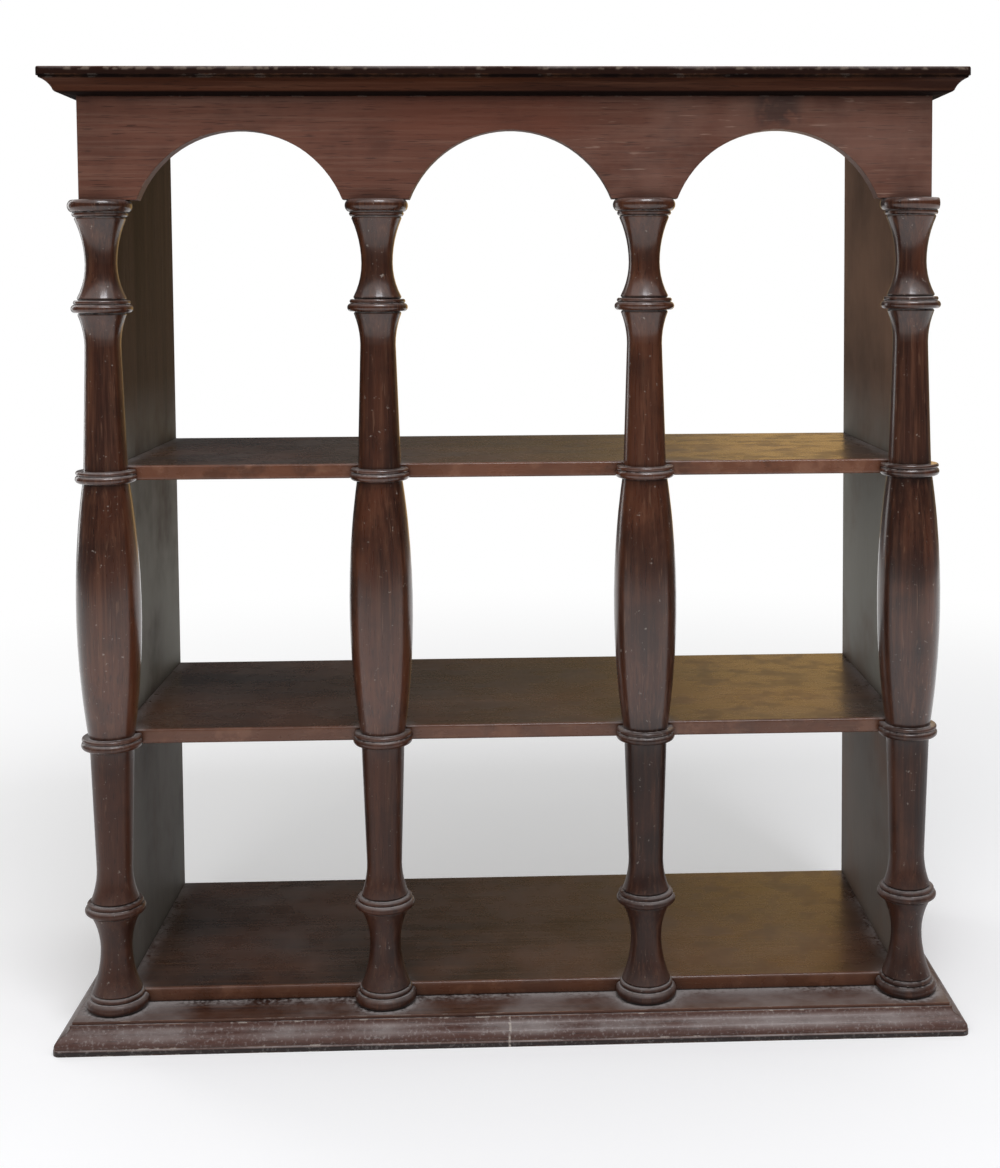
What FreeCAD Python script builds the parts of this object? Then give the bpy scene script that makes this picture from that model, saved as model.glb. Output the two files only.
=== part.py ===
"""Open table etagere: turned columns carry an arcade between a moulded base and a moulded cornice.

Sizes are in millimetres. X runs to the right, Y to the back and Z up from the middle of the footprint.
"""

import FreeCAD
import Part
import math
import os

# Case: two side panels and three shelves, open at the back
case_width = 531.5  # over the side panels, which is also the length of the fascia
case_depth = 192.0  # from the columns' centre line to the back edges
panel_thickness = 16.0
shelf_thickness = 9.3
shelf_setback = 4.2  # shelf front edge behind the columns' centre line
shelf_pitch = 168.7
shelf_nose = 1.4  # rounding of the shelves' front arrises
housing_depth = 6.0  # shelf end inside the panel's groove

# Base: a board with a moulding planted round three edges
base_thickness = 17.5
base_side_reach = 11.5  # board beyond the panels
foot_margin = 2.8  # board in front of the column feet
moulding_width = 10.5
moulding_drop = 1.9  # top of the moulding below the top of the board
moulding_lip = 1.3  # flat along the top of the moulding
moulding_quirk = 1.2  # sunk step below that flat
moulding_fillet = 3.6  # upright face along the floor
moulding_ledge = 1.1  # narrow flat on top of the upright face
moulding_arris = 0.8  # worn rounding of the upright face's top edge
moulding_turn = 0.68  # share of the ogee that swells, below the hollow
moulding_swell = 1.9
moulding_hollow = 0.5
moulding_corner = 5.0  # worn rounding of the front corners

# Columns: turned from one length of wood, with a round tenon at each end
column_height = 512.8
column_inset = 11.5  # outer columns' centre line inside the ends of the fascia
bay_ease = 1.7  # middle bay narrower than an even third
bay_shift = 0.6  # middle bay to the right of the middle of the case
end_bead_radius = 19.7
end_bead_height = 7.2
end_rim_radius = 17.0
end_rim_height = 3.0
neck_mouth_radius = 15.6
neck_radius = 9.8
neck_waist = 39.5  # from the column's end to the narrowest place of the neck
neck_root_radius = 15.0
neck_height = 62.0  # from the column's end to the neck ring
neck_ring_radius = 18.9
neck_rim_radius = 17.4
shaft_mouth_radius = 14.8
shaft_radius = 11.1
shaft_flare = 21.0  # length of the hollow between the neck ring and the shaft
shaft_root_radius = 13.6
shelf_ring_radius = 18.8
shelf_rim_radius = 18.4
belly_end_radius = 14.3
belly_radius = 20.0
ring_bead_height = 5.0
ring_rim_height = 2.6
ring_drop = 1.3  # middle of a shelf ring below the middle of its shelf
bead_swell = 1.9
rim_swell = 0.9
bell_lip = 1.5  # rounded lip where a hollow runs out against a ring
bead_trim = 15.5  # right outer column: from its centre line to the flat cut on its top bead
tenon_radius = 3.6
tenon_length = 12.0

# Arcade: one board with an arch over each bay
fascia_thickness = 12.0
arch_leg = 41.2  # width of the board between two arches
arch_rise = 42.9
arch_crown = 20.8  # wood left above an arch

# Cornice and the board behind it
cornice_height = 16.0
cornice_overhang = 19.75
cornice_soffit = 8.4
cornice_soffit_rise = 1.2
cornice_bead_width = 3.0
cornice_bead_height = 2.0
cornice_bead_swell = 0.7
cornice_cove = 0.95  # hollow between the bead and the upright face
cornice_fillet = 5.2  # upright face along the top
cornice_ledge = 1.8
cornice_quirk = 1.5  # sunk upright step under that ledge
cornice_arris = 2.2  # worn rounding of the top edge
cornice_corner = 4.0  # worn rounding of the front corners

# Hidden fastenings
fastener_inset = 35.0  # from a panel's front and back edges
screw_radius = 2.0
screw_length = 42.0
screw_head_radius = 4.2
screw_head_height = 2.6
screw_recess = 0.6
screw_slot = 1.0
dowel_radius = 4.0
dowel_depth = 10.0
block_leg = 13.0
block_length = 40.0

# Clearances
panel_gap = 0.7  # between the thickest part of a column and the panel behind it
joint_gap = 0.1  # round tenons, dowels, screws and shelf ends
notch_gap = 0.15  # round a shelf edge in a column

# Positions that follow from the sizes
panel_out = case_width / 2
panel_in = panel_out - panel_thickness
column_reach = max(end_bead_radius, neck_ring_radius, shelf_ring_radius, belly_radius)
board_front = end_bead_radius + foot_margin
footprint_depth = moulding_width + board_front + case_depth
back_y = footprint_depth / 2
axis_y = back_y - case_depth
board_y = axis_y - board_front
board_out = panel_out + base_side_reach
panel_y = axis_y + column_reach + panel_gap
shelf_y = axis_y + shelf_setback
fascia_front = axis_y - fascia_thickness / 2
fascia_back = axis_y + fascia_thickness / 2

deck_z = base_thickness
fascia_z = deck_z + column_height
cornice_z = fascia_z + arch_rise + arch_crown
top_z = cornice_z + cornice_height
bottom_top_z = deck_z + shelf_thickness
middle_top_z = bottom_top_z + shelf_pitch
upper_top_z = middle_top_z + shelf_pitch

outer_x = panel_out - column_inset
bay_pitch = 2 * outer_x / 3 - bay_ease
inner_left_x = bay_shift - bay_pitch / 2
inner_right_x = bay_shift + bay_pitch / 2
fastener_x = (panel_in + panel_out) / 2
fastener_y = (panel_y + fastener_inset, back_y - fastener_inset)


class Profile:
    """A flat outline drawn stroke by stroke: u is the distance outwards and v the height."""

    def __init__(self, place, u, v):
        self.place = place
        self.begin = (u, v)
        self.here = (u, v)
        self.edges = []

    def line(self, u, v):
        self.edges.append(Part.makeLine(self.place(*self.here), self.place(u, v)))
        self.here = (u, v)

    def bow(self, u, v, swell):
        """An arc that stands off its chord by swell, to the right of the stroke's direction."""
        du = u - self.here[0]
        dv = v - self.here[1]
        chord = math.hypot(du, dv)
        middle_u = (self.here[0] + u) / 2 + swell * dv / chord
        middle_v = (self.here[1] + v) / 2 - swell * du / chord
        arc = Part.Arc(self.place(*self.here), self.place(middle_u, middle_v), self.place(u, v))
        self.edges.append(arc.toShape())
        self.here = (u, v)

    def hollow(self, u, v):
        """A concave arc that is upright at its narrow end."""
        run = abs(u - self.here[0])
        rise = abs(v - self.here[1])
        self.bow(u, v, -math.hypot(run, rise) / 2 * math.tan(math.atan2(run, rise) / 2))

    def face(self):
        self.line(*self.begin)
        return Part.Face(Part.Wire(self.edges))


def box(x0, x1, y0, y1, z0, z1):
    return Part.makeBox(x1 - x0, y1 - y0, z1 - z0, FreeCAD.Vector(x0, y0, z0))


def rod(x, y, z0, z1, radius):
    return Part.makeCylinder(radius, z1 - z0, FreeCAD.Vector(x, y, z0))


def prism(points, direction):
    return Part.Face(Part.makePolygon(points + points[:1])).extrude(direction)


def without(shape, cutters):
    return shape.cut(Part.Compound(cutters)).removeSplitter()


def mirrored(shape):
    return shape.mirror(FreeCAD.Vector(0, 0, 0), FreeCAD.Vector(1, 0, 0))


# Base board, with countersunk screw holes and sockets for the column feet
def screw_profile(x, y, gap):
    pen = Profile(lambda u, v: FreeCAD.Vector(x + u, y, v), 0, screw_recess)
    pen.line(screw_head_radius + gap, screw_recess)
    pen.line(screw_radius + gap, screw_recess + screw_head_height)
    pen.line(screw_radius + gap, screw_length - screw_radius)
    pen.line(0, screw_length + gap)
    return pen.face().revolve(FreeCAD.Vector(x, y, 0), FreeCAD.Vector(0, 0, 1), 360)


fastener_places = [(side * fastener_x, y) for side in (-1, 1) for y in fastener_y]
column_places = (-outer_x, inner_left_x, inner_right_x, outer_x)

screw_holes = [screw_profile(x, y, joint_gap) for x, y in fastener_places]
screw_mouths = [rod(x, y, 0, screw_recess, screw_head_radius + joint_gap) for x, y in fastener_places]
socket_radius = tenon_radius + joint_gap
socket_depth = tenon_length + joint_gap
foot_sockets = [rod(x, axis_y, deck_z - socket_depth, deck_z, socket_radius) for x in column_places]
base_board = without(
    box(-board_out, board_out, board_y, back_y, 0, deck_z), screw_holes + screw_mouths + foot_sockets
)


# Base moulding: lip, quirk, ogee, ledge and upright face, mitred at the two front corners
def base_profile(place):
    lip_z = deck_z - moulding_drop
    ledge_u = moulding_width - moulding_ledge
    turn_u = ledge_u - moulding_turn * (ledge_u - moulding_lip)
    turn_v = moulding_fillet + moulding_turn * (lip_z - moulding_quirk - moulding_fillet)
    pen = Profile(place, 0, 0)
    pen.line(moulding_width, 0)
    pen.line(moulding_width, moulding_fillet - moulding_arris)
    pen.bow(moulding_width - moulding_arris, moulding_fillet, moulding_arris * (1 - math.sqrt(0.5)))
    pen.line(ledge_u, moulding_fillet)
    pen.bow(turn_u, turn_v, moulding_swell)
    pen.bow(moulding_lip, lip_z - moulding_quirk, -moulding_hollow)
    pen.line(moulding_lip, lip_z)
    pen.line(0, lip_z)
    return pen.face()


def on_floor(x, y):
    return FreeCAD.Vector(x, y, 0)


def front_strip(profile, edge_x, edge_y, width, corner):
    """A moulding along the front, cut at 45 degrees at both ends, its corners rounded by wear."""
    far_x = edge_x + width
    far_y = edge_y - width
    mitre = corner * (1 - math.sqrt(0.5))
    swell = corner * (1 - math.cos(math.radians(22.5)))
    section = profile(lambda u, v: FreeCAD.Vector(-far_x, edge_y - u, v))
    bar = section.extrude(FreeCAD.Vector(2 * far_x, 0, 0))
    plan = Profile(on_floor, -edge_x, edge_y)
    plan.line(-far_x + mitre, far_y + mitre)
    plan.bow(-far_x + corner, far_y, swell)
    plan.line(far_x - corner, far_y)
    plan.bow(far_x - mitre, far_y + mitre, swell)
    plan.line(edge_x, edge_y)
    return bar.common(plan.face().extrude(FreeCAD.Vector(0, 0, top_z)))


def left_strip(profile, edge_x, edge_y, width, corner):
    """A moulding along the left side, cut at 45 degrees at its front end, its corner rounded by wear."""
    far_x = edge_x + width
    far_y = edge_y - width
    mitre = corner * (1 - math.sqrt(0.5))
    swell = corner * (1 - math.cos(math.radians(22.5)))
    section = profile(lambda u, v: FreeCAD.Vector(-edge_x - u, far_y, v))
    bar = section.extrude(FreeCAD.Vector(0, back_y - far_y, 0))
    plan = Profile(on_floor, -edge_x, back_y)
    plan.line(-far_x, back_y)
    plan.line(-far_x, far_y + corner)
    plan.bow(-far_x + mitre, far_y + mitre, swell)
    plan.line(-edge_x, edge_y)
    return bar.common(plan.face().extrude(FreeCAD.Vector(0, 0, top_z)))


base_moulding_front = front_strip(base_profile, board_out, board_y, moulding_width, moulding_corner)
base_moulding_left = left_strip(base_profile, board_out, board_y, moulding_width, moulding_corner)
base_moulding_right = mirrored(base_moulding_left)


# Shelves: the lowest lies on the base board, the others are housed in the panels behind the columns
def shelf(top_z, housed):
    plan = [(-panel_in, shelf_y), (panel_in, shelf_y), (panel_in, panel_y), (panel_in + housed, panel_y)]
    plan += [(panel_in + housed, back_y), (-panel_in - housed, back_y)]
    plan += [(-panel_in - housed, panel_y), (-panel_in, panel_y)]
    corners = list(dict.fromkeys(plan))
    points = [FreeCAD.Vector(x, y, top_z - shelf_thickness) for x, y in corners]
    board = prism(points, FreeCAD.Vector(0, 0, shelf_thickness))
    nose = [
        edge
        for edge in board.Edges
        if all(abs(v.Y - shelf_y) < joint_gap for v in edge.Vertexes) and edge.Length > shelf_pitch
    ]
    return board.makeFillet(shelf_nose, nose)


bottom_shelf = shelf(bottom_top_z, 0)
middle_shelf = shelf(middle_top_z, housing_depth)
upper_shelf = shelf(upper_top_z, housing_depth)

# Side panels: a tongue at the top reaches forward to the back of the fascia
panel_outline = [(panel_y, deck_z), (panel_y, fascia_z), (fascia_back, fascia_z)]
panel_outline += [(fascia_back, cornice_z), (back_y, cornice_z), (back_y, deck_z)]
panel_blank = prism(
    [FreeCAD.Vector(-panel_out, y, z) for y, z in panel_outline], FreeCAD.Vector(panel_thickness, 0, 0)
)
grooves = [
    box(
        -panel_in - housing_depth - joint_gap,
        -panel_in,
        panel_y,
        back_y,
        level - shelf_thickness - joint_gap,
        level + joint_gap,
    )
    for level in (middle_top_z, upper_top_z)
]
dowel_holes = [
    rod(
        x,
        y,
        cornice_z - dowel_depth - joint_gap,
        cornice_z + dowel_depth + joint_gap,
        dowel_radius + joint_gap,
    )
    for x, y in fastener_places
]
side_panel_left = without(panel_blank, grooves + screw_holes[:2] + dowel_holes[:2])
side_panel_right = mirrored(side_panel_left)


# Columns: foot, neck, ring, shaft, ring, belly, and the same again upwards
def ring(pen, bottom_z, radius, rim_radius):
    """A bead with a thinner rim on top of it."""
    edge = radius - bead_swell
    rim_edge = rim_radius - rim_swell
    pen.line(edge, bottom_z)
    pen.bow(edge, bottom_z + ring_bead_height, bead_swell)
    pen.line(rim_edge, bottom_z + ring_bead_height)
    pen.bow(rim_edge, bottom_z + ring_bead_height + ring_rim_height, rim_swell)


def lip_up(pen, radius, z):
    """The rounded lip with which a hollow starts on top of a ring."""
    pen.line(radius - bell_lip, z)
    pen.bow(radius, z + bell_lip, bell_lip * (1 - math.sqrt(0.5)))


def lip_down(pen, radius, z):
    """The rounded lip with which a hollow ends under a ring."""
    pen.bow(radius - bell_lip, z, bell_lip * (1 - math.sqrt(0.5)))


def turned_column(x):
    ring_height = ring_bead_height + ring_rim_height
    ring_offset = shelf_thickness / 2 + ring_drop + ring_height / 2
    lower_ring_z = middle_top_z - ring_offset
    upper_ring_z = upper_top_z - ring_offset
    low_neck_z = deck_z + neck_height
    high_neck_z = fascia_z - neck_height - ring_height
    end_edge = end_bead_radius - bead_swell
    rim_edge = end_rim_radius - rim_swell
    rim_z = end_bead_height + end_rim_height

    pen = Profile(lambda u, v: FreeCAD.Vector(x + u, axis_y, v), 0, deck_z - tenon_length)
    pen.line(tenon_radius, deck_z - tenon_length)
    pen.line(tenon_radius, deck_z)
    pen.line(end_edge, deck_z)
    pen.bow(end_edge, deck_z + end_bead_height, bead_swell)
    pen.line(rim_edge, deck_z + end_bead_height)
    pen.bow(rim_edge, deck_z + rim_z, rim_swell)
    lip_up(pen, neck_mouth_radius, deck_z + rim_z)
    pen.hollow(neck_radius, deck_z + neck_waist)
    pen.hollow(neck_root_radius, low_neck_z - bell_lip)
    lip_down(pen, neck_root_radius, low_neck_z)
    ring(pen, low_neck_z, neck_ring_radius, neck_rim_radius)
    lip_up(pen, shaft_mouth_radius, low_neck_z + ring_height)
    pen.hollow(shaft_radius, low_neck_z + ring_height + shaft_flare)
    pen.line(shaft_root_radius, lower_ring_z)
    ring(pen, lower_ring_z, shelf_ring_radius, shelf_rim_radius)
    pen.line(belly_end_radius, lower_ring_z + ring_height)
    pen.bow(belly_end_radius, upper_ring_z, belly_radius - belly_end_radius)
    ring(pen, upper_ring_z, shelf_ring_radius, shelf_rim_radius)
    pen.line(shaft_root_radius, upper_ring_z + ring_height)
    pen.line(shaft_radius, high_neck_z - shaft_flare)
    pen.hollow(shaft_mouth_radius, high_neck_z - bell_lip)
    lip_down(pen, shaft_mouth_radius, high_neck_z)
    ring(pen, high_neck_z, neck_ring_radius, neck_rim_radius)
    lip_up(pen, neck_root_radius, high_neck_z + ring_height)
    pen.hollow(neck_radius, fascia_z - neck_waist)
    pen.hollow(neck_mouth_radius, fascia_z - rim_z - bell_lip)
    lip_down(pen, neck_mouth_radius, fascia_z - rim_z)
    pen.line(rim_edge, fascia_z - rim_z)
    pen.bow(rim_edge, fascia_z - end_bead_height, rim_swell)
    pen.line(end_edge, fascia_z - end_bead_height)
    pen.bow(end_edge, fascia_z, bead_swell)
    pen.line(tenon_radius, fascia_z)
    pen.line(tenon_radius, fascia_z + tenon_length)
    pen.line(0, fascia_z + tenon_length)
    blank = pen.face().revolve(FreeCAD.Vector(x, axis_y, 0), FreeCAD.Vector(0, 0, 1), 360)
    return without(blank, shelf_notches)


shelf_notches = [
    box(
        -panel_in - notch_gap,
        panel_in + notch_gap,
        shelf_y - notch_gap,
        back_y,
        max(deck_z, level - shelf_thickness - notch_gap),
        level + notch_gap,
    )
    for level in (bottom_top_z, middle_top_z, upper_top_z)
]
column_outer_left = turned_column(-outer_x)
column_inner_left = turned_column(inner_left_x)
column_inner_right = turned_column(inner_right_x)

# The right outer column's top bead is cut flat on its outer side
cap_z = fascia_z - end_bead_height - end_rim_height
offcut_x = (outer_x + bead_trim, outer_x + column_reach)
offcut_y = (axis_y - column_reach, axis_y + column_reach)
offcut = box(*offcut_x, *offcut_y, cap_z, fascia_z)
column_outer_right = without(mirrored(column_outer_left), [offcut])

# Arcade fascia: three arches between legs that stand on the columns
arcade = Profile(lambda u, v: FreeCAD.Vector(u, fascia_front, v), -panel_out, fascia_z)
half_span = (bay_pitch - arch_leg) / 2
for bay_x in (bay_shift - bay_pitch, bay_shift, bay_shift + bay_pitch):
    arcade.line(bay_x - half_span, fascia_z)
    arcade.bow(bay_x + half_span, fascia_z, -arch_rise)
arcade.line(panel_out, fascia_z)
arcade.line(panel_out, cornice_z)
arcade.line(-panel_out, cornice_z)
leg_sockets = [rod(x, axis_y, fascia_z, fascia_z + socket_depth, socket_radius) for x in column_places]
arcade_fascia = without(arcade.face().extrude(FreeCAD.Vector(0, fascia_thickness, 0)), leg_sockets)

# Top board over the fascia and the panels
top_board = without(box(-panel_out, panel_out, fascia_front, back_y, cornice_z, top_z), dowel_holes)


# Cornice: soffit, bead, cove, quirk, ledge and upright face, mitred like the base
def cornice_profile(place):
    bead_u = cornice_soffit + cornice_bead_width
    bead_v = cornice_z + cornice_soffit_rise + cornice_bead_height
    ledge_u = cornice_overhang - cornice_ledge
    ledge_z = top_z - cornice_fillet
    pen = Profile(place, 0, cornice_z)
    pen.line(cornice_soffit, cornice_z + cornice_soffit_rise)
    pen.bow(bead_u, bead_v, cornice_bead_swell)
    pen.bow(ledge_u, ledge_z - cornice_quirk, -cornice_cove)
    pen.line(ledge_u, ledge_z)
    pen.line(cornice_overhang, ledge_z)
    pen.line(cornice_overhang, top_z - cornice_arris)
    pen.bow(cornice_overhang - cornice_arris, top_z, cornice_arris * (1 - math.sqrt(0.5)))
    pen.line(0, top_z)
    return pen.face()


cornice_front = front_strip(cornice_profile, panel_out, fascia_front, cornice_overhang, cornice_corner)
cornice_left = left_strip(cornice_profile, panel_out, fascia_front, cornice_overhang, cornice_corner)
cornice_right = mirrored(cornice_left)


# Glue blocks in the corner behind the fascia, above the inner columns
def glue_block(x):
    start_x = x - block_length / 2
    points = [
        FreeCAD.Vector(start_x, fascia_back, cornice_z),
        FreeCAD.Vector(start_x, fascia_back + block_leg, cornice_z),
        FreeCAD.Vector(start_x, fascia_back, cornice_z - block_leg),
    ]
    return prism(points, FreeCAD.Vector(block_length, 0, 0))


glue_blocks = Part.Compound([glue_block(inner_left_x), glue_block(inner_right_x)])


# Slotted wood screws up through the base board, and dowels between the panels and the top board
def base_screw(x, y):
    slot_x = (x - screw_head_radius, x + screw_head_radius)
    slot_y = (y - screw_slot / 2, y + screw_slot / 2)
    return screw_profile(x, y, 0).cut(box(*slot_x, *slot_y, 0, screw_recess + screw_slot))


base_screws = Part.Compound([base_screw(x, y) for x, y in fastener_places])
top_dowels = Part.Compound(
    [rod(x, y, cornice_z - dowel_depth, cornice_z + dowel_depth, dowel_radius) for x, y in fastener_places]
)

nodes = {
    "base_board": base_board,
    "base_moulding_front": base_moulding_front,
    "base_moulding_left": base_moulding_left,
    "base_moulding_right": base_moulding_right,
    "bottom_shelf": bottom_shelf,
    "middle_shelf": middle_shelf,
    "upper_shelf": upper_shelf,
    "side_panel_left": side_panel_left,
    "side_panel_right": side_panel_right,
    "column_outer_left": column_outer_left,
    "column_inner_left": column_inner_left,
    "column_inner_right": column_inner_right,
    "column_outer_right": column_outer_right,
    "arcade_fascia": arcade_fascia,
    "top_board": top_board,
    "cornice_front": cornice_front,
    "cornice_left": cornice_left,
    "cornice_right": cornice_right,
    "glue_blocks": glue_blocks,
    "base_screws": base_screws,
    "top_dowels": top_dowels,
}

os.makedirs("parts", exist_ok=True)
for name, shape in nodes.items():
    shape.exportStep("parts/" + name + ".step")
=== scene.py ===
"""Looks, light and camera for the open etagere: dark polished mahogany with rubbed edges and settled dust."""

import math

import bpy
from mathutils import Matrix, Vector

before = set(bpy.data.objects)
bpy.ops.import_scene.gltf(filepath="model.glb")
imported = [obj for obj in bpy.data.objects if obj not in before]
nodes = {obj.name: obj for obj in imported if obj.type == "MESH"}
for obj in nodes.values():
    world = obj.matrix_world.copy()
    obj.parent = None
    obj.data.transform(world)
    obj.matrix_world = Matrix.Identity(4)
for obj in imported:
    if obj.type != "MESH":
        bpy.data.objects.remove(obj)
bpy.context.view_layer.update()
bpy.ops.object.select_all(action="DESELECT")


# Base board: the broad mahogany board that carries the case, its front edge left as a step.
# It is polished like the rest, but dust lies on the step and is packed round the column feet.
def add(tree, kind, inputs=None, **settings):
    """A shader node with its settings, and with its sockets either set or linked."""
    node = tree.nodes.new(kind)
    for name, value in settings.items():
        setattr(node, name, value)
    for name, value in (inputs or {}).items():
        if isinstance(value, bpy.types.NodeSocket):
            tree.links.new(value, node.inputs[name])
        else:
            node.inputs[name].default_value = value
    return node


def new_group(name, inputs, outputs):
    """An empty shader group with these sockets, and the sockets of its two ends."""
    tree = bpy.data.node_groups.new(name, "ShaderNodeTree")
    for label, kind, value in inputs:
        tree.interface.new_socket(label, in_out="INPUT", socket_type=kind).default_value = value
    for label in outputs:
        tree.interface.new_socket(label, in_out="OUTPUT", socket_type=outputs[label])
    return tree, tree.nodes.new("NodeGroupInput").outputs, tree.nodes.new("NodeGroupOutput").inputs


def calc(tree, operation, *values):
    """The clamped result of one sum on these values."""
    inputs = dict(enumerate(values))
    return add(tree, "ShaderNodeMath", inputs, operation=operation, use_clamp=True).outputs[0]


def ramp(tree, value, low, high):
    """Rises smoothly from 0 at low to 1 at high, or falls where low is above high."""
    inputs = {"Value": value, "From Min": low, "From Max": high}
    return add(tree, "ShaderNodeMapRange", inputs, interpolation_type="SMOOTHSTEP").outputs["Result"]


def tint(tree, share, under, over):
    """The colour under, covered by the colour over as far as share says."""
    inputs = {0: share, 6: under, 7: over}
    return add(tree, "ShaderNodeMix", inputs, data_type="RGBA").outputs[2]


def noise(tree, vector, scale, detail=2.0, roughness=0.5, distortion=0.0):
    inputs = {
        "Vector": vector,
        "Scale": scale,
        "Detail": detail,
        "Roughness": roughness,
        "Distortion": distortion,
    }
    return add(tree, "ShaderNodeTexNoise", inputs).outputs["Fac"]


def drawn_out(tree, vector, along, across):
    """Coordinates in which a pattern runs out long along X."""
    inputs = {"Vector": vector, "Scale": (along, across, across)}
    return add(tree, "ShaderNodeMapping", inputs).outputs["Vector"]


def build_grain():
    """Mahogany figure along X: broad bands, fine streaks, short open pores and pale scratches."""
    tree, given, result = new_group(
        "mahogany_grain",
        [("Vector", "NodeSocketVector", (0.0, 0.0, 0.0))],
        {label: "NodeSocketFloat" for label in ("Bands", "Streaks", "Pores", "Scratches")},
    )
    bands = noise(tree, drawn_out(tree, given["Vector"], 2.6, 30.0), 1.0, 4.0, 0.55, 0.7)
    streaks = noise(tree, drawn_out(tree, given["Vector"], 9.0, 420.0), 1.0, 3.0, 0.6)
    pores = noise(tree, drawn_out(tree, given["Vector"], 75.0, 1500.0), 1.0, 1.0)
    scratches = noise(tree, drawn_out(tree, given["Vector"], 45.0, 560.0), 1.0, 2.0, 0.55, 0.4)
    tree.links.new(bands, result["Bands"])
    tree.links.new(streaks, result["Streaks"])
    tree.links.new(ramp(tree, pores, 0.60, 0.72), result["Pores"])
    tree.links.new(ramp(tree, scratches, 0.64, 0.74), result["Scratches"])
    return tree


def build_rubbing():
    """Rubbed arrises: where the surface turns a corner within Reach, polish is thin or chipped."""
    tree, given, result = new_group(
        "rubbed_edges",
        [("Vector", "NodeSocketVector", (0.0, 0.0, 0.0)), ("Reach", "NodeSocketFloat", 0.001)],
        {"Mask": "NodeSocketFloat", "Chips": "NodeSocketFloat", "Soft Normal": "NodeSocketVector"},
    )
    flat = tree.nodes.new("ShaderNodeNewGeometry").outputs["Normal"]
    rounded = add(tree, "ShaderNodeBevel", {"Radius": given["Reach"]}, samples=6).outputs["Normal"]
    turn = add(tree, "ShaderNodeVectorMath", {0: flat, 1: rounded}, operation="DOT_PRODUCT").outputs["Value"]
    edge = ramp(tree, turn, 0.995, 0.90)
    patches = ramp(tree, noise(tree, given["Vector"], 34.0, 4.0, 0.65), 0.40, 0.62)
    nicks = calc(tree, "MULTIPLY_ADD", ramp(tree, noise(tree, given["Vector"], 260.0), 0.35, 0.6), 0.6, 0.4)
    chips = ramp(tree, noise(tree, given["Vector"], 85.0, 3.0, 0.6), 0.585, 0.625)
    tree.links.new(calc(tree, "MULTIPLY", edge, calc(tree, "MULTIPLY", patches, nicks)), result["Mask"])
    tree.links.new(calc(tree, "MULTIPLY", edge, chips), result["Chips"])
    tree.links.new(rounded, result["Soft Normal"])
    return tree


def build_dirt_and_shade():
    """Years of dust: a film on what looks up and crumbs in the nooks; and grime with painted shade, darkening
    every recess.
    """
    tree, given, result = new_group(
        "dust_grime_and_shade",
        [("Vector", "NodeSocketVector", (0.0, 0.0, 0.0)), ("Reach", "NodeSocketFloat", 0.012)],
        {"Film": "NodeSocketFloat", "Crumbs": "NodeSocketFloat", "Grime and Shade": "NodeSocketFloat"},
    )
    normal = tree.nodes.new("ShaderNodeNewGeometry").outputs["Normal"]
    facing_up = ramp(tree, add(tree, "ShaderNodeSeparateXYZ", {"Vector": normal}).outputs["Z"], 0.1, 0.9)
    clouds = noise(tree, given["Vector"], 17.0, 5.0, 0.6)
    specks = noise(tree, given["Vector"], 420.0)
    shelter = add(tree, "ShaderNodeAmbientOcclusion", {"Distance": given["Reach"]}, samples=6).outputs["AO"]
    film = calc(tree, "MULTIPLY", facing_up, ramp(tree, clouds, 0.32, 0.72))
    mottle = calc(tree, "MULTIPLY_ADD", specks, 0.5, calc(tree, "MULTIPLY", clouds, 0.6))
    sheltered = calc(tree, "MULTIPLY", ramp(tree, shelter, 0.95, 0.55), ramp(tree, mottle, 0.42, 0.62))
    crumbs = calc(tree, "MULTIPLY", facing_up, sheltered)
    tree.links.new(film, result["Film"])
    tree.links.new(crumbs, result["Crumbs"])
    # Grime and Shade: recesses darkened from ambient occlusion, painted shade together with grime.
    tree.links.new(ramp(tree, shelter, 0.82, 0.32), result["Grime and Shade"])
    return tree


mahogany_grain = build_grain()
rubbed_edges = build_rubbing()
dust_grime_and_shade = build_dirt_and_shade()
grain_turn = {"X": (0.0, 0.0, 0.0), "Y": (0.0, 0.0, math.radians(90)), "Z": (0.0, math.radians(90), 0.0)}
dust_colour = (0.33, 0.30, 0.29, 1.0)
# Near-black for grain pores and grime, and for the painted shade in recesses.
grime_and_shade_colour = (0.006, 0.0025, 0.002, 1.0)
rubbed_colour = (0.22, 0.10, 0.05, 1.0)
chip_colour = (0.46, 0.41, 0.36, 1.0)


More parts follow.
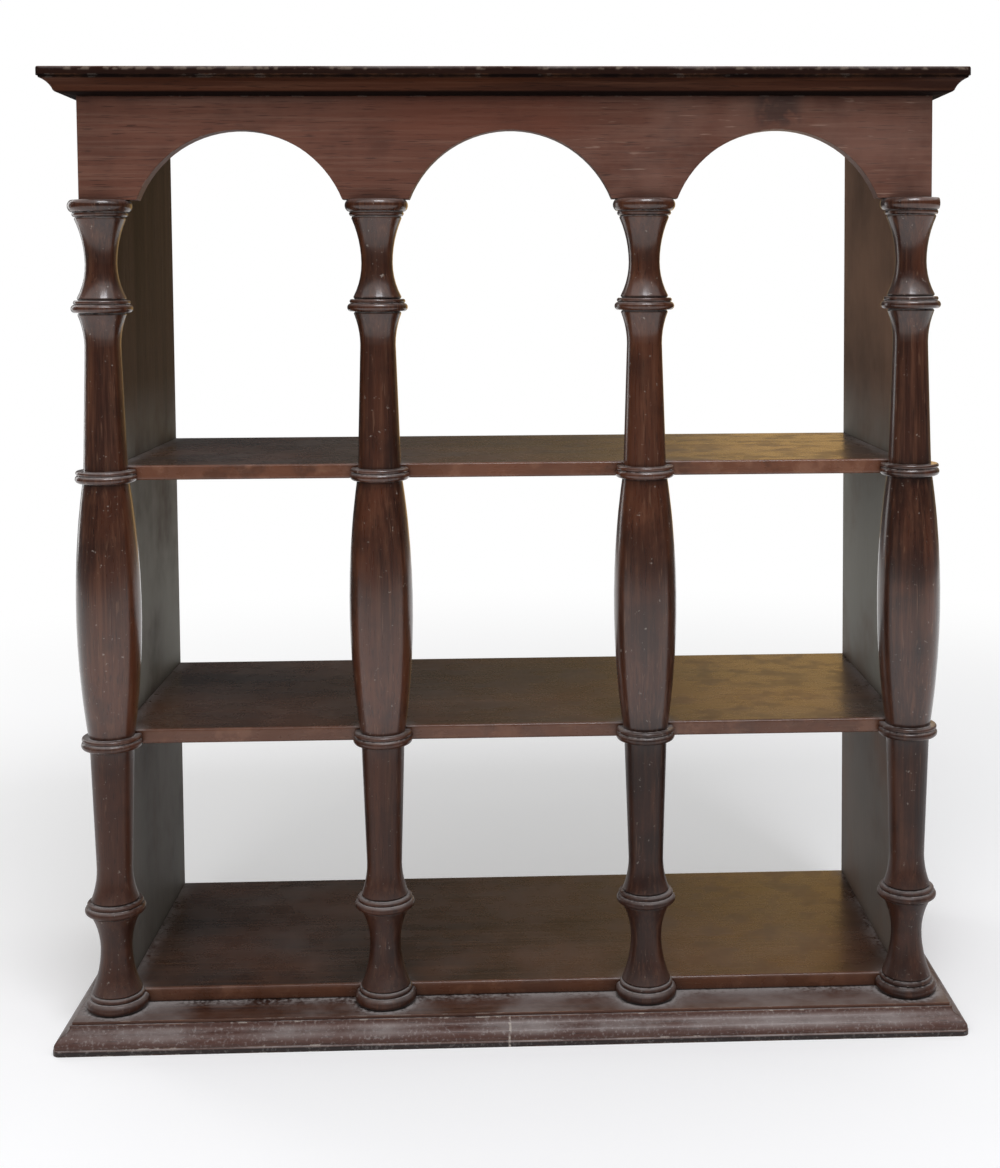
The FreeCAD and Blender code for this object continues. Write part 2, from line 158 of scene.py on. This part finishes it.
class Mahogany:
    """Polished mahogany for one piece or group of pieces, which then adds marks of its own."""

    def __init__(self, name, along, dark, warm, pale, reach=0.001, nook=0.012):
        self.material = bpy.data.materials.new(name)
        self.material.use_nodes = True
        self.tree = self.material.node_tree
        self.shader = self.tree.nodes["Principled BSDF"]
        self.place = self.tree.nodes.new("ShaderNodeTexCoord").outputs["Object"]
        self.along = add(self.tree, "ShaderNodeSeparateXYZ", {"Vector": self.place}).outputs
        turned = add(self.tree, "ShaderNodeMapping", {"Vector": self.place, "Rotation": grain_turn[along]})
        grain = {"Vector": turned.outputs["Vector"]}
        rubbing = {"Vector": self.place, "Reach": reach}
        self.grain = add(self.tree, "ShaderNodeGroup", grain, node_tree=mahogany_grain).outputs
        self.edges = add(self.tree, "ShaderNodeGroup", rubbing, node_tree=rubbed_edges).outputs
        dirt_and_shade_inputs = {"Vector": self.place, "Reach": nook}
        self.dirt_and_shade = add(self.tree, "ShaderNodeGroup", dirt_and_shade_inputs, node_tree=dust_grime_and_shade).outputs
        self.colour = tint(self.tree, ramp(self.tree, self.grain["Bands"], 0.34, 0.66), dark, warm)
        self.stain(ramp(self.tree, self.grain["Streaks"], 0.42, 0.75), pale, 0.6)
        self.stain(self.grain["Pores"], grime_and_shade_colour, 0.5)
        self.height = calc(self.tree, "MULTIPLY_ADD", self.grain["Pores"], -0.5, self.grain["Streaks"])
        self.dullness = calc(self.tree, "MULTIPLY", self.grain["Streaks"], 0.15)

    def zone(self, axis, low, high):
        """1 beyond high and 0 before low, along one axis of the piece."""
        return ramp(self.tree, self.along[axis], low, high)

    def clouds(self, scale, low, high):
        """Soft patches of this many to the metre."""
        return ramp(self.tree, noise(self.tree, self.place, scale, 4.0, 0.6), low, high)

    def both(self, *masks):
        whole = masks[0]
        for mask in masks[1:]:
            whole = calc(self.tree, "MULTIPLY", whole, mask)
        return whole

    def stain(self, mask, colour, share=1.0):
        self.colour = tint(self.tree, self.both(mask, share), self.colour, colour)

    def dull(self, mask, amount):
        self.dullness = calc(self.tree, "MULTIPLY_ADD", mask, amount, self.dullness)

    def age(self, rubbed, chipped, film, crumbs, grime_and_shade):
        """Grime with painted shade in recesses, rubbed edges and dust, each by the amount that this piece has
        of it.
        """
        self.stain(self.dirt_and_shade["Grime and Shade"], grime_and_shade_colour, grime_and_shade)
        self.stain(self.edges["Mask"], rubbed_colour, rubbed)
        self.stain(self.dirt_and_shade["Film"], dust_colour, film)
        self.stain(self.dirt_and_shade["Crumbs"], dust_colour, crumbs)
        self.stain(self.edges["Chips"], chip_colour, chipped)
        self.dull(self.edges["Mask"], 0.25 * rubbed)
        self.dull(self.edges["Chips"], 0.4 * chipped)
        self.dull(self.dirt_and_shade["Film"], 0.35 * film)
        self.dull(self.dirt_and_shade["Crumbs"], 0.5 * crumbs)

    def finish(self, pieces, gloss, relief, specular, polish):
        """Puts the wood on these pieces: gloss is its roughness, relief its bump, polish its clear coat."""
        bump = {"Height": self.height, "Strength": relief, "Distance": 0.0006}
        bump["Normal"] = self.edges["Soft Normal"]
        normal = add(self.tree, "ShaderNodeBump", bump).outputs["Normal"]
        self.tree.links.new(self.colour, self.shader.inputs["Base Color"])
        self.tree.links.new(calc(self.tree, "ADD", self.dullness, gloss), self.shader.inputs["Roughness"])
        self.tree.links.new(normal, self.shader.inputs["Normal"])
        self.shader.inputs["Specular IOR Level"].default_value = specular
        self.shader.inputs["Coat Weight"].default_value = polish
        self.shader.inputs["Coat Roughness"].default_value = 0.14
        for piece in pieces:
            nodes[piece].data.materials.clear()
            nodes[piece].data.materials.append(self.material)


step_wood = Mahogany(
    "step_wood",
    "X",
    dark=(0.034, 0.012, 0.007, 1.0),
    warm=(0.074, 0.026, 0.013, 1.0),
    pale=(0.105, 0.048, 0.028, 1.0),
)
step_wood.age(rubbed=0.7, chipped=0.3, film=0.5, crumbs=0.9, grime_and_shade=0.7)
step_wood.finish(["base_board"], gloss=0.36, relief=0.25, specular=0.3, polish=0.15)


# Base moulding: three strips of mahogany run with an ogee, glued round the board and mitred at the front.
# Feet and brooms have greyed it and chipped its lower arris, and a pale filled crack crosses its middle.
for along, pieces in (("X", ["base_moulding_front"]), ("Y", ["base_moulding_left", "base_moulding_right"])):
    moulding_wood = Mahogany(
        "base_moulding_wood_" + along,
        along,
        dark=(0.040, 0.017, 0.012, 1.0),
        warm=(0.078, 0.032, 0.023, 1.0),
        pale=(0.115, 0.064, 0.050, 1.0),
        reach=0.0013,
    )
    # The lowest strip, the fillet under the lower arris, is painted near-black: painted shade, with grime.
    moulding_wood.stain(moulding_wood.zone("Z", 0.0034, 0.0026), grime_and_shade_colour, 0.85)
    moulding_wood.stain(moulding_wood.clouds(520.0, 0.52, 0.70), dust_colour, 0.35)
    moulding_wood.age(rubbed=0.6, chipped=0.8, film=0.6, crumbs=0.8, grime_and_shade=0.8)
    if along == "X":
        wander = noise(moulding_wood.tree, moulding_wood.place, 160.0)
        wandering = {0: wander, 1: 0.003, 2: moulding_wood.along["X"]}
        crack_x = add(moulding_wood.tree, "ShaderNodeMath", wandering, operation="MULTIPLY_ADD")
        crack = ramp(moulding_wood.tree, crack_x.outputs[0], -0.0032, -0.0026)
        crack = moulding_wood.both(crack, ramp(moulding_wood.tree, crack_x.outputs[0], -0.0012, -0.0018))
        crack = moulding_wood.both(crack, moulding_wood.clouds(300.0, 0.40, 0.58))
        moulding_wood.stain(crack, chip_colour, 0.7)
    moulding_wood.finish(pieces, gloss=0.40, relief=0.3, specular=0.35, polish=0.12)


# Shelves: three mahogany boards, the lowest flat on the base and two housed in grooves in the panels.
# Their tops keep a good polish, and their rounded front edges are rubbed down to the red of the wood.
shelf_wood = Mahogany(
    "shelf_wood",
    "X",
    dark=(0.022, 0.009, 0.005, 1.0),
    warm=(0.052, 0.021, 0.010, 1.0),
    pale=(0.085, 0.038, 0.019, 1.0),
)
rubbed_down = calc(shelf_wood.tree, "MULTIPLY_ADD", shelf_wood.zone("Z", 0.20, 0.34), 0.4, 0.6)
front_edge = shelf_wood.both(shelf_wood.zone("Y", -0.0722, -0.0742), rubbed_down)
shelf_wood.stain(front_edge, (0.15, 0.055, 0.028, 1.0), 0.8)
paler = shelf_wood.both(front_edge, shelf_wood.clouds(60.0, 0.5, 0.62))
shelf_wood.stain(paler, (0.25, 0.12, 0.07, 1.0), 0.35)
shelf_wood.stain(shelf_wood.both(front_edge, shelf_wood.clouds(38.0, 0.52, 0.64)), grime_and_shade_colour, 0.4)
shelf_wood.stain(shelf_wood.clouds(14.0, 0.40, 0.68), (0.075, 0.026, 0.011, 1.0), 0.6)
shelf_wood.stain(shelf_wood.grain["Scratches"], (0.17, 0.10, 0.055, 1.0), 0.3)
shelf_wood.dull(shelf_wood.clouds(48.0, 0.42, 0.66), 0.10)
shelf_wood.age(rubbed=0.6, chipped=0.3, film=0.07, crumbs=0.5, grime_and_shade=0.6)
shelves = ["bottom_shelf", "middle_shelf", "upper_shelf"]
shelf_wood.finish(shelves, gloss=0.17, relief=0.08, specular=0.5, polish=0.0)


# Side panels: upright mahogany boards, grooved inside for the shelves.
# Inside they are dull, grey with bloom and a painted grey sheen, and little polish is left; outside they keep
# their red.
panel_wood = Mahogany(
    "panel_wood",
    "Z",
    dark=(0.026, 0.014, 0.009, 1.0),
    warm=(0.058, 0.031, 0.020, 1.0),
    pale=(0.085, 0.055, 0.040, 1.0),
)
inside = panel_wood.both(panel_wood.zone("X", -0.2520, -0.2505), panel_wood.zone("X", 0.2520, 0.2505))
outside = calc(panel_wood.tree, "SUBTRACT", 1.0, inside)
panel_wood.stain(panel_wood.both(outside, panel_wood.clouds(12.0, 0.1, 0.9)), (0.105, 0.036, 0.019, 1.0), 0.7)
# The inner face of the right panel is painted lighter and warmer: painted light, as if lit from the left.
right_panel_painted_light = panel_wood.both(inside, panel_wood.zone("X", -0.10, 0.10), panel_wood.clouds(11.0, 0.0, 0.7))
panel_wood.stain(right_panel_painted_light, (0.26, 0.145, 0.090, 1.0), 0.75)
# Lower inner faces: grey bloom, partly a painted grey sheen in place of reflection, paler above 0.21 m.
bloom_and_sheen = panel_wood.both(inside, panel_wood.zone("Z", 0.42, 0.34), panel_wood.clouds(9.0, 0.2, 0.6))
panel_wood.stain(bloom_and_sheen, (0.17, 0.165, 0.150, 1.0), 0.7)
panel_wood.stain(panel_wood.both(bloom_and_sheen, panel_wood.zone("Z", 0.19, 0.21)), (0.29, 0.285, 0.250, 1.0), 0.8)
panel_wood.age(rubbed=0.6, chipped=0.2, film=0.3, crumbs=0.5, grime_and_shade=0.6)
panel_wood.finish(["side_panel_left", "side_panel_right"], gloss=0.50, relief=0.3, specular=0.08, polish=0.0)


# Columns: each turned from one square of mahogany, notched over the shelf edges and tenoned at both ends.
# Rings, necks and bellies have the brightest polish on the piece, with dust caught above the rings.
column_wood = Mahogany(
    "column_wood",
    "Z",
    dark=(0.030, 0.009, 0.0045, 1.0),
    warm=(0.076, 0.023, 0.010, 1.0),
    pale=(0.110, 0.043, 0.021, 1.0),
    reach=0.0008,
    nook=0.005,
)
column_wood.stain(column_wood.clouds(26.0, 0.46, 0.68), grime_and_shade_colour, 0.45)
column_wood.stain(column_wood.grain["Scratches"], (0.19, 0.10, 0.06, 1.0), 0.3)
column_wood.stain(column_wood.clouds(330.0, 0.66, 0.72), chip_colour, 0.35)
# Below about 0.17 m the columns are painted darker and duller, and their coat is thinner.
low_down = column_wood.zone("Z", 0.21, 0.17)
column_wood.stain(low_down, grime_and_shade_colour, 0.35)
column_wood.dull(low_down, 0.12)
# A short reach and a strong share of grime and shade paint the quirks between rings and shafts near black:
# painted shade, with grime.
column_wood.age(rubbed=0.3, chipped=0.2, film=0.35, crumbs=0.8, grime_and_shade=0.95)
column_wood.finish(
    ["column_outer_left", "column_inner_left", "column_inner_right", "column_outer_right"],
    gloss=0.22,
    relief=0.2,
    specular=0.3,
    polish=0.6,
)
column_wood.shader.inputs["Coat Roughness"].default_value = 0.17
coat = calc(column_wood.tree, "MULTIPLY_ADD", low_down, -0.75, 0.85)
column_wood.tree.links.new(coat, column_wood.shader.inputs["Coat Weight"])


# Arcade fascia: one mahogany board sawn to three arches, standing on the columns.
# Its face is open-grained, redder in the middle, hazy and scratched to the right, dark over the right arch.
fascia_wood = Mahogany(
    "fascia_wood",
    "X",
    dark=(0.086, 0.030, 0.018, 1.0),
    warm=(0.112, 0.041, 0.025, 1.0),
    pale=(0.150, 0.075, 0.052, 1.0),
)
red_middle = fascia_wood.both(fascia_wood.zone("X", -0.12, -0.04), fascia_wood.zone("X", 0.07, 0.02))
red_middle = fascia_wood.both(red_middle, fascia_wood.zone("Z", 0.562, 0.575))
fascia_wood.stain(red_middle, (0.115, 0.030, 0.014, 1.0), 0.5)
right_half = fascia_wood.zone("X", -0.02, 0.10)
haze = fascia_wood.both(right_half, fascia_wood.clouds(14.0, 0.42, 0.66))
fascia_wood.stain(haze, (0.19, 0.105, 0.080, 1.0), 0.35)
fascia_wood.stain(fascia_wood.both(right_half, fascia_wood.grain["Scratches"]), (0.32, 0.22, 0.17, 1.0), 0.45)
over_arch = fascia_wood.both(fascia_wood.zone("X", 0.147, 0.160), fascia_wood.zone("X", 0.188, 0.176))
over_arch = fascia_wood.both(over_arch, fascia_wood.zone("Z", 0.570, 0.580))
over_arch = fascia_wood.both(over_arch, fascia_wood.clouds(90.0, 0.3, 0.55))
fascia_wood.stain(over_arch, (0.030, 0.020, 0.018, 1.0), 0.65)
fascia_wood.stain(fascia_wood.clouds(22.0, 0.45, 0.7), grime_and_shade_colour, 0.25)
# Grime and shade darken the top of the face under the cornice and its other corners: painted shade, with
# grime.
fascia_wood.age(rubbed=0.2, chipped=0.25, film=0.2, crumbs=0.3, grime_and_shade=0.8)
fascia_wood.finish(["arcade_fascia"], gloss=0.45, relief=0.25, specular=0.25, polish=0.04)


# Glue blocks and dowels: offcuts of pale softwood that nobody sees, left raw from the saw.
# The blocks sit behind the fascia under the top board, the dowels inside the joints of the panels.
block_wood = Mahogany(
    "block_wood",
    "X",
    dark=(0.26, 0.16, 0.085, 1.0),
    warm=(0.40, 0.26, 0.14, 1.0),
    pale=(0.50, 0.36, 0.22, 1.0),
)
block_wood.age(rubbed=0.0, chipped=0.0, film=0.4, crumbs=0.4, grime_and_shade=0.5)
block_wood.finish(["glue_blocks", "top_dowels"], gloss=0.6, relief=0.5, specular=0.3, polish=0.0)


# Top board: a plain mahogany board over fascia and panels, framed by the cornice.
# Nobody polishes a top above eye level, so dust lies on it thickest.
top_wood = Mahogany(
    "top_wood",
    "X",
    dark=(0.034, 0.013, 0.008, 1.0),
    warm=(0.072, 0.028, 0.015, 1.0),
    pale=(0.110, 0.053, 0.032, 1.0),
)
top_wood.age(rubbed=0.6, chipped=0.3, film=0.42, crumbs=0.5, grime_and_shade=0.5)
top_wood.finish(["top_board"], gloss=0.42, relief=0.3, specular=0.3, polish=0.05)


# Cornice: a mahogany moulding with a cove under an upright fillet, mitred round the front and sides.
# Grime has blackened the fillet, painted shade with grime blackens the quirk under it and the soffit, and the
# top edge is splintered and pale.
for along, pieces in (("X", ["cornice_front"]), ("Y", ["cornice_left", "cornice_right"])):
    cornice_wood = Mahogany(
        "cornice_wood_" + along,
        along,
        dark=(0.026, 0.008, 0.004, 1.0),
        warm=(0.064, 0.020, 0.009, 1.0),
        pale=(0.095, 0.040, 0.022, 1.0),
        reach=0.0013,
    )
    fillet = cornice_wood.both(cornice_wood.zone("Z", 0.6028, 0.6036), cornice_wood.zone("Z", 0.6097, 0.6088))
    quirk_shade = cornice_wood.both(cornice_wood.zone("Z", 0.6028, 0.6034), cornice_wood.zone("Z", 0.6054, 0.6046))
    splinters = cornice_wood.zone("Z", 0.6070, 0.6086)
    splinters = cornice_wood.both(splinters, cornice_wood.clouds(130.0, 0.48, 0.60))
    cornice_wood.stain(fillet, grime_and_shade_colour, 0.85)
    # The quirk under the fillet: painted shade in the recess, with grime.
    cornice_wood.stain(quirk_shade, grime_and_shade_colour, 0.9)
    cornice_wood.stain(splinters, (0.17, 0.13, 0.10, 1.0), 0.6)
    # The soffit under the cove: painted shade, with grime.
    cornice_wood.stain(cornice_wood.zone("Z", 0.5966, 0.5952), grime_and_shade_colour, 0.97)
    cornice_wood.age(rubbed=0.3, chipped=0.12, film=0.4, crumbs=0.4, grime_and_shade=0.9)
    cornice_wood.dull(cornice_wood.zone("Z", 0.6028, 0.6036), 0.3)
    cornice_wood.dull(cornice_wood.zone("Z", 0.5966, 0.5952), 0.4)
    cornice_wood.finish(pieces, gloss=0.45, relief=0.3, specular=0.07, polish=0.0)


# Base screws: four slotted steel wood screws, driven up through the base board into the panels.
# The heads lie countersunk under the base, dull and freckled with rust.
screw_steel = bpy.data.materials.new("screw_steel")
screw_steel.use_nodes = True
tree = screw_steel.node_tree
shader = tree.nodes["Principled BSDF"]
place = tree.nodes.new("ShaderNodeTexCoord").outputs["Object"]
rust = ramp(tree, noise(tree, place, 900.0, 4.0, 0.65), 0.48, 0.62)
brushed = noise(tree, drawn_out(tree, place, 300.0, 4000.0), 1.0)
steel = tint(tree, brushed, (0.20, 0.19, 0.18, 1.0), (0.36, 0.35, 0.33, 1.0))
tree.links.new(tint(tree, rust, steel, (0.11, 0.045, 0.018, 1.0)), shader.inputs["Base Color"])
tree.links.new(calc(tree, "SUBTRACT", 1.0, rust), shader.inputs["Metallic"])
tree.links.new(calc(tree, "MULTIPLY_ADD", rust, 0.4, 0.4), shader.inputs["Roughness"])
worn = {"Height": brushed, "Strength": 0.2, "Distance": 0.0002}
tree.links.new(add(tree, "ShaderNodeBump", worn).outputs["Normal"], shader.inputs["Normal"])
nodes["base_screws"].data.materials.clear()
nodes["base_screws"].data.materials.append(screw_steel)


# Floor: a pale studio floor that runs on into a white backdrop and takes the shadow.
# Seen directly or in the polish it is lifted to the backdrop's white, without lighting the piece.
def seen_rays(tree):
    """1 for what is seen directly, in a reflection or through glass."""
    rays = tree.nodes.new("ShaderNodeLightPath").outputs
    mirrored = calc(tree, "MAXIMUM", rays["Is Glossy Ray"], rays["Is Transmission Ray"])
    return calc(tree, "MAXIMUM", rays["Is Camera Ray"], mirrored)


floor_paint = bpy.data.materials.new("floor_paint")
floor_paint.use_nodes = True
tree = floor_paint.node_tree
shader = tree.nodes["Principled BSDF"]
place = tree.nodes.new("ShaderNodeTexCoord").outputs["Object"]
away = add(tree, "ShaderNodeVectorMath", {0: place}, operation="LENGTH").outputs["Value"]
seen = seen_rays(tree)
backdrop = calc(tree, "MULTIPLY", seen, ramp(tree, away, 0.55, 1.5))
paint = tint(tree, backdrop, (0.93, 0.93, 0.93, 1.0), (0.0, 0.0, 0.0, 1.0))
lift = calc(tree, "MULTIPLY_ADD", backdrop, 0.88, calc(tree, "MULTIPLY", seen, 0.12))
tree.links.new(paint, shader.inputs["Base Color"])
tree.links.new(lift, shader.inputs["Emission Strength"])
shader.inputs["Emission Color"].default_value = (1.0, 1.0, 1.0, 1.0)
shader.inputs["Roughness"].default_value = 0.8
shader.inputs["Specular IOR Level"].default_value = 0.0
bpy.ops.mesh.primitive_plane_add(size=14.0, location=(0.0, 0.0, 0.0))
floor = bpy.context.object
floor.name = "floor"
floor.data.materials.append(floor_paint)

# Drape: a dark sheet all round the set that glows by itself, with a warm glowing patch behind the piece on
# the right.
# It shows only in the polish, where columns and shelves mirror it, and the warm patch gives the golden
# reflection on the right-hand shelves.
drape_glow = bpy.data.materials.new("drape_glow")
drape_glow.use_nodes = True
tree = drape_glow.node_tree
tree.nodes.remove(tree.nodes["Principled BSDF"])
place = tree.nodes.new("ShaderNodeTexCoord").outputs["Object"]
spot = add(tree, "ShaderNodeSeparateXYZ", {"Vector": place}).outputs
behind = ramp(tree, spot["Y"], 0.6, 1.2)
dusk = calc(tree, "MULTIPLY", behind, ramp(tree, spot["X"], -0.50, 0.20))
warm = calc(tree, "MULTIPLY", ramp(tree, spot["X"], 0.12, 0.55), ramp(tree, spot["X"], 1.10, 0.80))
warm = calc(tree, "MULTIPLY", calc(tree, "MULTIPLY", warm, behind), ramp(tree, spot["Z"], 1.25, 0.65))
glow = tint(tree, dusk, (0.06, 0.06, 0.06, 1.0), (0.22, 0.16, 0.09, 1.0))
glow = tint(tree, warm, glow, (1.0, 0.62, 0.24, 1.0))
drape_emission = add(tree, "ShaderNodeEmission", {"Color": glow, "Strength": 1.0}).outputs["Emission"]
tree.links.new(drape_emission, tree.nodes["Material Output"].inputs["Surface"])
drape_height = 1.7
bpy.ops.mesh.primitive_cylinder_add(
    vertices=96,
    radius=2.2,
    depth=drape_height,
    end_fill_type="NOTHING",
    location=(0.0, 0.0, drape_height / 2),
)
drape = bpy.context.object
drape.name = "drape"
bpy.ops.object.transform_apply(location=True, rotation=True, scale=True)
drape.data.materials.append(drape_glow)
drape.visible_camera = False
drape.visible_diffuse = False
drape.visible_transmission = False
drape.visible_shadow = False

# Light: even white daylight from all round, a large soft box overhead and two smaller ones.
# The overhead box gives the cool glints on the rings, the left one the lights on the columns' left flanks.
world = bpy.data.worlds.new("daylight")
world.use_nodes = True
bpy.context.scene.world = world
sky = world.node_tree
levels = {"Value": seen_rays(sky), "To Min": 0.55, "To Max": 1.0}
strength = add(sky, "ShaderNodeMapRange", levels).outputs["Result"]
sky.nodes["Background"].inputs["Color"].default_value = (1.0, 1.0, 1.0, 1.0)
sky.links.new(strength, sky.nodes["Background"].inputs["Strength"])


def soft_box(name, power, width, height, colour, place, mirrored):
    lamp = bpy.data.lights.new(name, "AREA")
    lamp.shape = "RECTANGLE"
    lamp.size = width
    lamp.size_y = height
    lamp.energy = power
    lamp.color = colour
    box = bpy.data.objects.new(name, lamp)
    box.location = place
    box.rotation_euler = (Vector((0.0, 0.0, 0.3)) - Vector(place)).to_track_quat("-Z", "Y").to_euler()
    box.visible_camera = False
    box.visible_glossy = mirrored
    bpy.context.scene.collection.objects.link(box)


soft_box("overhead_box", 21.0, 0.9, 0.6, (0.94, 0.95, 1.0), (0.25, -1.1, 2.1), True)
soft_box("front_box", 10.0, 1.2, 0.9, (1.0, 0.99, 0.98), (-0.5, -2.0, 1.3), False)
soft_box("left_box", 3.0, 0.4, 1.2, (1.0, 1.0, 1.0), (-1.3, 0.9, 0.7), True)

# Camera: stands a metre in front, above the middle of the case, and looks slightly down.
# The lens is shifted, as the picture was framed, so that the columns stay nearly upright.
camera = bpy.data.cameras.new("camera")
camera.sensor_width = 36.0
camera.lens = 50.895
camera.shift_x = -0.0732
camera.shift_y = -0.1704
viewer = bpy.data.objects.new("camera", camera)
yaw, pitch, roll = -0.0409, 0.0610, -0.0049
tilt = Matrix.Rotation(math.pi / 2 - pitch, 3, "X") @ Matrix.Rotation(roll, 3, "Z")
aim = Matrix.Rotation(yaw, 3, "Z") @ tilt
viewer.rotation_euler = aim.to_euler()
viewer.location = (0.00442, -1.12144, 0.47699)
bpy.context.scene.collection.objects.link(viewer)
bpy.context.scene.camera = viewer
bpy.context.scene.view_settings.view_transform = "Standard"
